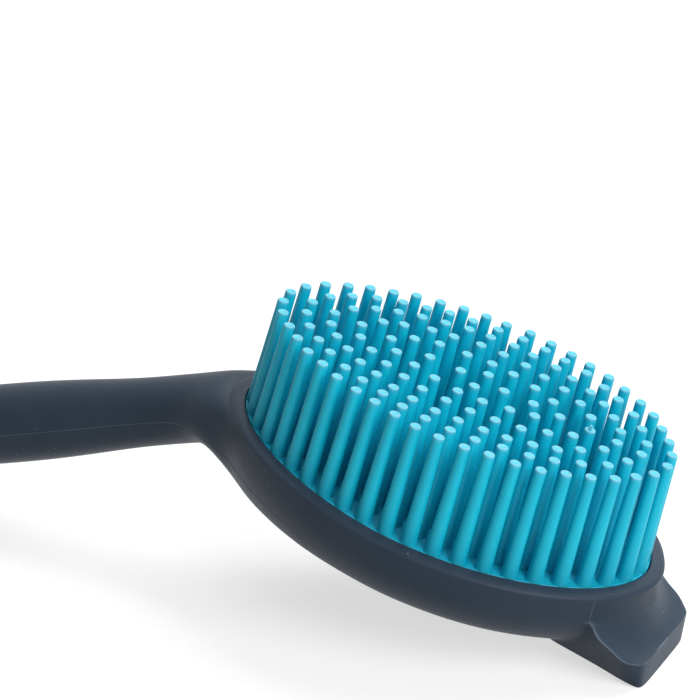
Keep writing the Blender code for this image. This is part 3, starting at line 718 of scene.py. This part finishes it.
class Shader:
    """A node material with its Principled shader and short ways to add nodes."""

    def __init__(self, name):
        self.material = bpy.data.materials.new(name)
        self.material.use_nodes = True
        self.tree = self.material.node_tree
        self.principled = self.tree.nodes["Principled BSDF"]
        place = self.tree.nodes.new("ShaderNodeTexCoord")
        self.where = place.outputs["Object"]

    def node(self, kind, inputs=None, **settings):
        """A new node whose inputs are values, or the outputs that they are linked to."""
        made = self.tree.nodes.new(kind)
        for key, value in settings.items():
            setattr(made, key, value)
        for key, value in (inputs or {}).items():
            if isinstance(value, bpy.types.NodeSocket):
                self.tree.links.new(value, made.inputs[key])
            else:
                made.inputs[key].default_value = value
        return made

    def noise(self, scale, detail, roughness=0.5):
        """Cloudy noise from 0 to 1, with its scale in clouds per metre."""
        made = self.node("ShaderNodeTexNoise", {"Vector": self.where, "Scale": scale,
                                                "Detail": detail, "Roughness": roughness})
        return made.outputs["Fac"]

    def ramp(self, value, stops):
        """The colour that a value has between the stops, each one (value, colour)."""
        made = self.node("ShaderNodeValToRGB", {"Fac": value})
        ramp = made.color_ramp
        while len(ramp.elements) < len(stops):
            ramp.elements.new(0.5)
        for element, (position, colour) in zip(ramp.elements, stops):
            element.position = position
            element.color = (*colour, 1)
        return made.outputs["Color"]

    def mix(self, factor, first, second):
        """A linked colour that goes over to a fixed one as the factor rises."""
        made = self.node("ShaderNodeMix", {"Factor": factor, "A": first, "B": (*second, 1)},
                         data_type="RGBA")
        return made.outputs["Result"]

    def product(self, first, second):
        """One value times another."""
        made = self.node("ShaderNodeMath", {0: first, 1: second}, operation="MULTIPLY")
        return made.outputs["Value"]

    def attribute(self, name):
        """A value that the mesh stores on its points."""
        return self.node("ShaderNodeAttribute", attribute_name=name).outputs["Fac"]

    def set(self, **values):
        """Set or link the Principled shader's sockets, with _ for a space in their names."""
        for key, value in values.items():
            name = key.replace("_", " ")
            if isinstance(value, bpy.types.NodeSocket):
                self.tree.links.new(value, self.principled.inputs[name])
            else:
                self.principled.inputs[name].default_value = value

    def satin(self, smoothest, roughest, grain_scale, grain_strength):
        """Vary the roughness between two values and give the surface a fine grain."""
        rough = self.node("ShaderNodeMapRange", {"Value": self.noise(900.0, 2.0),
                                                 "To Min": smoothest, "To Max": roughest})
        bump = self.node("ShaderNodeBump", {"Height": self.noise(grain_scale, 2.0),
                                            "Strength": grain_strength,
                                            "Distance": GRAIN_DEPTH})
        self.set(Roughness=rough.outputs["Result"], Normal=bump.outputs["Normal"])


def slate_silicone(name, dark, light):
    """Dark slate silicone: satin, faintly mottled, paler on the rounded sharp edges as partly wear
    and partly a painted highlight, with specks of dust.
    """
    made = Shader(name)
    colour = made.ramp(made.noise(45.0, 4.0, 0.6), ((0.3, dark), (0.7, light)))
    # Paler on the rounded sharp edges, in patches: partly wear, partly a painted highlight along the
    # edges' rounding
    often = made.ramp(made.noise(240.0, 3.0), ((0.38, (0.18, 0.18, 0.18)),
                                               (0.62, (0.58, 0.58, 0.58))))
    wear_and_highlight = made.product(made.attribute("wear_and_highlight_edge"), often)
    with_wear_and_highlight = made.mix(wear_and_highlight, colour, (0.16, 0.21, 0.26))
    specks = made.node("ShaderNodeTexVoronoi", {"Vector": made.where, "Scale": 420.0})
    dust = made.ramp(specks.outputs["Distance"], ((0.03, SPECK_GREY), (0.10, BLACK)))
    sparse = made.ramp(made.noise(160.0, 1.0), ((0.56, BLACK), (0.62, WHITE)))
    dusty = made.mix(made.product(dust, sparse), with_wear_and_highlight, (0.30, 0.34, 0.38))
    made.satin(0.38, 0.50, 2600.0, 0.08)
    made.set(Base_Color=dusty, IOR=SILICONE_IOR, Specular_IOR_Level=0.18)
    return made.material


def teal_silicone():
    """Bright teal silicone: satin, slightly translucent, darkened at the pad and the bristles' feet
    as painted shade, paler at the tips, partly as frosting and partly as a painted highlight.
    """
    made = Shader("teal_silicone")
    colour = made.ramp(made.noise(60.0, 3.0), ((0.3, (0.001, 0.480, 0.650)),
                                               (0.7, (0.002, 0.530, 0.695))))
    painted_shade_and_highlight_tone = made.attribute("painted_shade_and_highlight_tone")
    # Painted shade: a low tone darkens the pad, the bristles' feet and their lower shafts towards a
    # deeper teal, where shade falls between the bristles
    foot = made.ramp(painted_shade_and_highlight_tone, ((0.0, (0.62, 0.62, 0.62)), (0.15, BLACK)))
    deep = made.mix(foot, colour, (0.0005, 0.270, 0.420))
    # Paler caps: partly frosting, partly a painted highlight on the caps' tops and raised rings
    tip = made.ramp(painted_shade_and_highlight_tone, ((0.2, BLACK), (1.0, WHITE)))
    tipped = made.mix(tip, deep, (0.165, 0.450, 0.570))
    made.satin(0.42, 0.54, 2200.0, 0.06)
    made.set(Base_Color=tipped, IOR=SILICONE_IOR, Specular_IOR_Level=0.5, Subsurface_Weight=0.35,
             Subsurface_Radius=(0.12, 0.8, 1.0), Subsurface_Scale=2.0 * MM)
    return made.material


def black_nylon():
    """Black moulded nylon: matt, faintly mottled and grained."""
    made = Shader("black_nylon")
    colour = made.ramp(made.noise(300.0, 3.0), ((0.3, (0.014, 0.014, 0.016)),
                                                (0.7, (0.022, 0.022, 0.025))))
    made.satin(0.48, 0.62, 3000.0, 0.1)
    made.set(Base_Color=colour)
    return made.material


# Camera, light and floor

# The photo's width and the fitted focal length, in pixels, and the fitted unit of length
PHOTO_WIDTH, FOCAL_LENGTH, CAMERA_UNIT = 700, 2500, 0.92 * MM
# The fitted camera in the head's frame: its place, and where its picture's +X, +Y and depth point
CAMERA_PLACE = Vector((155.56, -490.49, 295.01))
CAMERA_ACROSS = Vector((0.8596, 0.45636, 0.22983))
CAMERA_DOWN = Vector((0.40193, -0.32616, -0.85561))
CAMERA_AHEAD = Vector((-0.31551, 0.82786, -0.4638))
SENSOR_WIDTH = 36
LAMP_TARGET = Vector((0.05, 0, 0.03))


def add_camera():
    """The photograph's camera."""
    matrix = Matrix((CAMERA_ACROSS, -CAMERA_DOWN, -CAMERA_AHEAD)).transposed().to_4x4()
    matrix.translation = CAMERA_PLACE * CAMERA_UNIT
    data = bpy.data.cameras.new("photo_camera")
    data.sensor_width = SENSOR_WIDTH
    data.lens = FOCAL_LENGTH * SENSOR_WIDTH / PHOTO_WIDTH
    data.clip_start, data.clip_end = 0.01, 20
    camera = bpy.data.objects.new("photo_camera", data)
    bpy.context.scene.collection.objects.link(camera)
    camera.matrix_world = HEAD @ matrix
    bpy.context.scene.camera = camera


def area_light(name, place, width, depth, power):
    """A soft white lamp turned to the brush."""
    data = bpy.data.lights.new(name, "AREA")
    data.shape, data.size, data.size_y = "RECTANGLE", width, depth
    data.energy = power
    light = bpy.data.objects.new(name, data)
    light.location = place
    light.rotation_euler = (LAMP_TARGET - Vector(place)).to_track_quat("-Z", "Y").to_euler()
    bpy.context.scene.collection.objects.link(light)


def background_rays(tree):
    """1 for the rays that should see a white background: seen straight, mirrored or through."""
    rays = tree.nodes.new("ShaderNodeLightPath")
    found = rays.outputs["Is Camera Ray"]
    for name in ("Is Glossy Ray", "Is Transmission Ray"):
        both = tree.nodes.new("ShaderNodeMath")
        both.operation = "MAXIMUM"
        tree.links.new(found, both.inputs[0])
        tree.links.new(rays.outputs[name], both.inputs[1])
        found = both.outputs[0]
    return found


FLOOR_REACH = 4.0
# What the floor adds for the rays that see the background: less near the brush, for its shadow
NEAR_GLOW, FAR_GLOW, NEAR, FAR = 0.64, 1.0, 0.35, 1.1


def add_floor():
    """A pale floor that keeps the shadow and runs out into white."""
    bm = bmesh.new()
    bmesh.ops.create_grid(bm, x_segments=1, y_segments=1, size=FLOOR_REACH)
    mesh = bpy.data.meshes.new("floor")
    bm.to_mesh(mesh)
    bm.free()
    floor = bpy.data.objects.new("floor", mesh)
    bpy.context.scene.collection.objects.link(floor)
    made = bpy.data.materials.new("pale_floor")
    made.use_nodes = True
    tree = made.node_tree
    shader = tree.nodes["Principled BSDF"]
    shader.inputs["Base Color"].default_value = (0.44, 0.44, 0.44, 1)
    shader.inputs["Roughness"].default_value = 0.9
    glow = tree.nodes.new("ShaderNodeEmission")
    place = tree.nodes.new("ShaderNodeTexCoord")
    distance = tree.nodes.new("ShaderNodeVectorMath")
    distance.operation = "LENGTH"
    fade = tree.nodes.new("ShaderNodeMapRange")
    for name, value in (("From Min", NEAR), ("From Max", FAR),
                        ("To Min", NEAR_GLOW), ("To Max", FAR_GLOW)):
        fade.inputs[name].default_value = value
    tree.links.new(place.outputs["Object"], distance.inputs[0])
    tree.links.new(distance.outputs["Value"], fade.inputs["Value"])
    tree.links.new(fade.outputs["Result"], glow.inputs["Strength"])
    none = tree.nodes.new("ShaderNodeEmission")
    none.inputs["Strength"].default_value = 0.0
    seen = tree.nodes.new("ShaderNodeMixShader")
    tree.links.new(background_rays(tree), seen.inputs["Fac"])
    tree.links.new(none.outputs[0], seen.inputs[1])
    tree.links.new(glow.outputs[0], seen.inputs[2])
    both = tree.nodes.new("ShaderNodeAddShader")
    tree.links.new(shader.outputs[0], both.inputs[0])
    tree.links.new(seen.outputs[0], both.inputs[1])
    tree.links.new(both.outputs[0], tree.nodes["Material Output"].inputs["Surface"])
    mesh.materials.append(made)


def add_world():
    """A dim even light from all round, seen as white."""
    world = bpy.data.worlds.new("studio")
    bpy.context.scene.world = world
    world.use_nodes = True
    tree = world.node_tree
    background = tree.nodes["Background"]
    background.inputs["Color"].default_value = (1, 1, 1, 1)
    background.inputs["Strength"].default_value = 0.15
    white = tree.nodes.new("ShaderNodeBackground")
    white.inputs["Color"].default_value = (1, 1, 1, 1)
    white.inputs["Strength"].default_value = 1.0
    seen = tree.nodes.new("ShaderNodeMixShader")
    tree.links.new(background_rays(tree), seen.inputs["Fac"])
    tree.links.new(background.outputs[0], seen.inputs[1])
    tree.links.new(white.outputs[0], seen.inputs[2])
    tree.links.new(seen.outputs[0], tree.nodes["World Output"].inputs["Surface"])


add_camera()
add_world()
add_floor()
area_light("key_light", (0.80, -0.38, 0.58), 0.6, 0.6, 8.8)
area_light("top_light", (0.20, 0.45, 0.82), 0.8, 0.6, 7.8)

slate = slate_silicone("slate_silicone", (0.024, 0.038, 0.059), (0.031, 0.047, 0.071))
# A paler copy of the slate for the mould lines: a painted highlight along the raised lines
slate_painted_highlight = slate_silicone("slate_silicone_painted_highlight", (0.060, 0.085, 0.115), (0.095, 0.125, 0.160))
teal = teal_silicone()
body = build_body(slate)
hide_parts("body_skin")
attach(body, "root")

lines = build_mould_lines(body_tree(body), slate_painted_highlight)
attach(lines, "root")

bristles = build_bristles(teal)
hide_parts("bristle_pad")
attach(bristles, "root")

core = frame["nodes"]["nylon_core"]
core.data.materials.clear()
core.data.materials.append(black_nylon())

bpy.context.scene.view_settings.view_transform = "Standard"
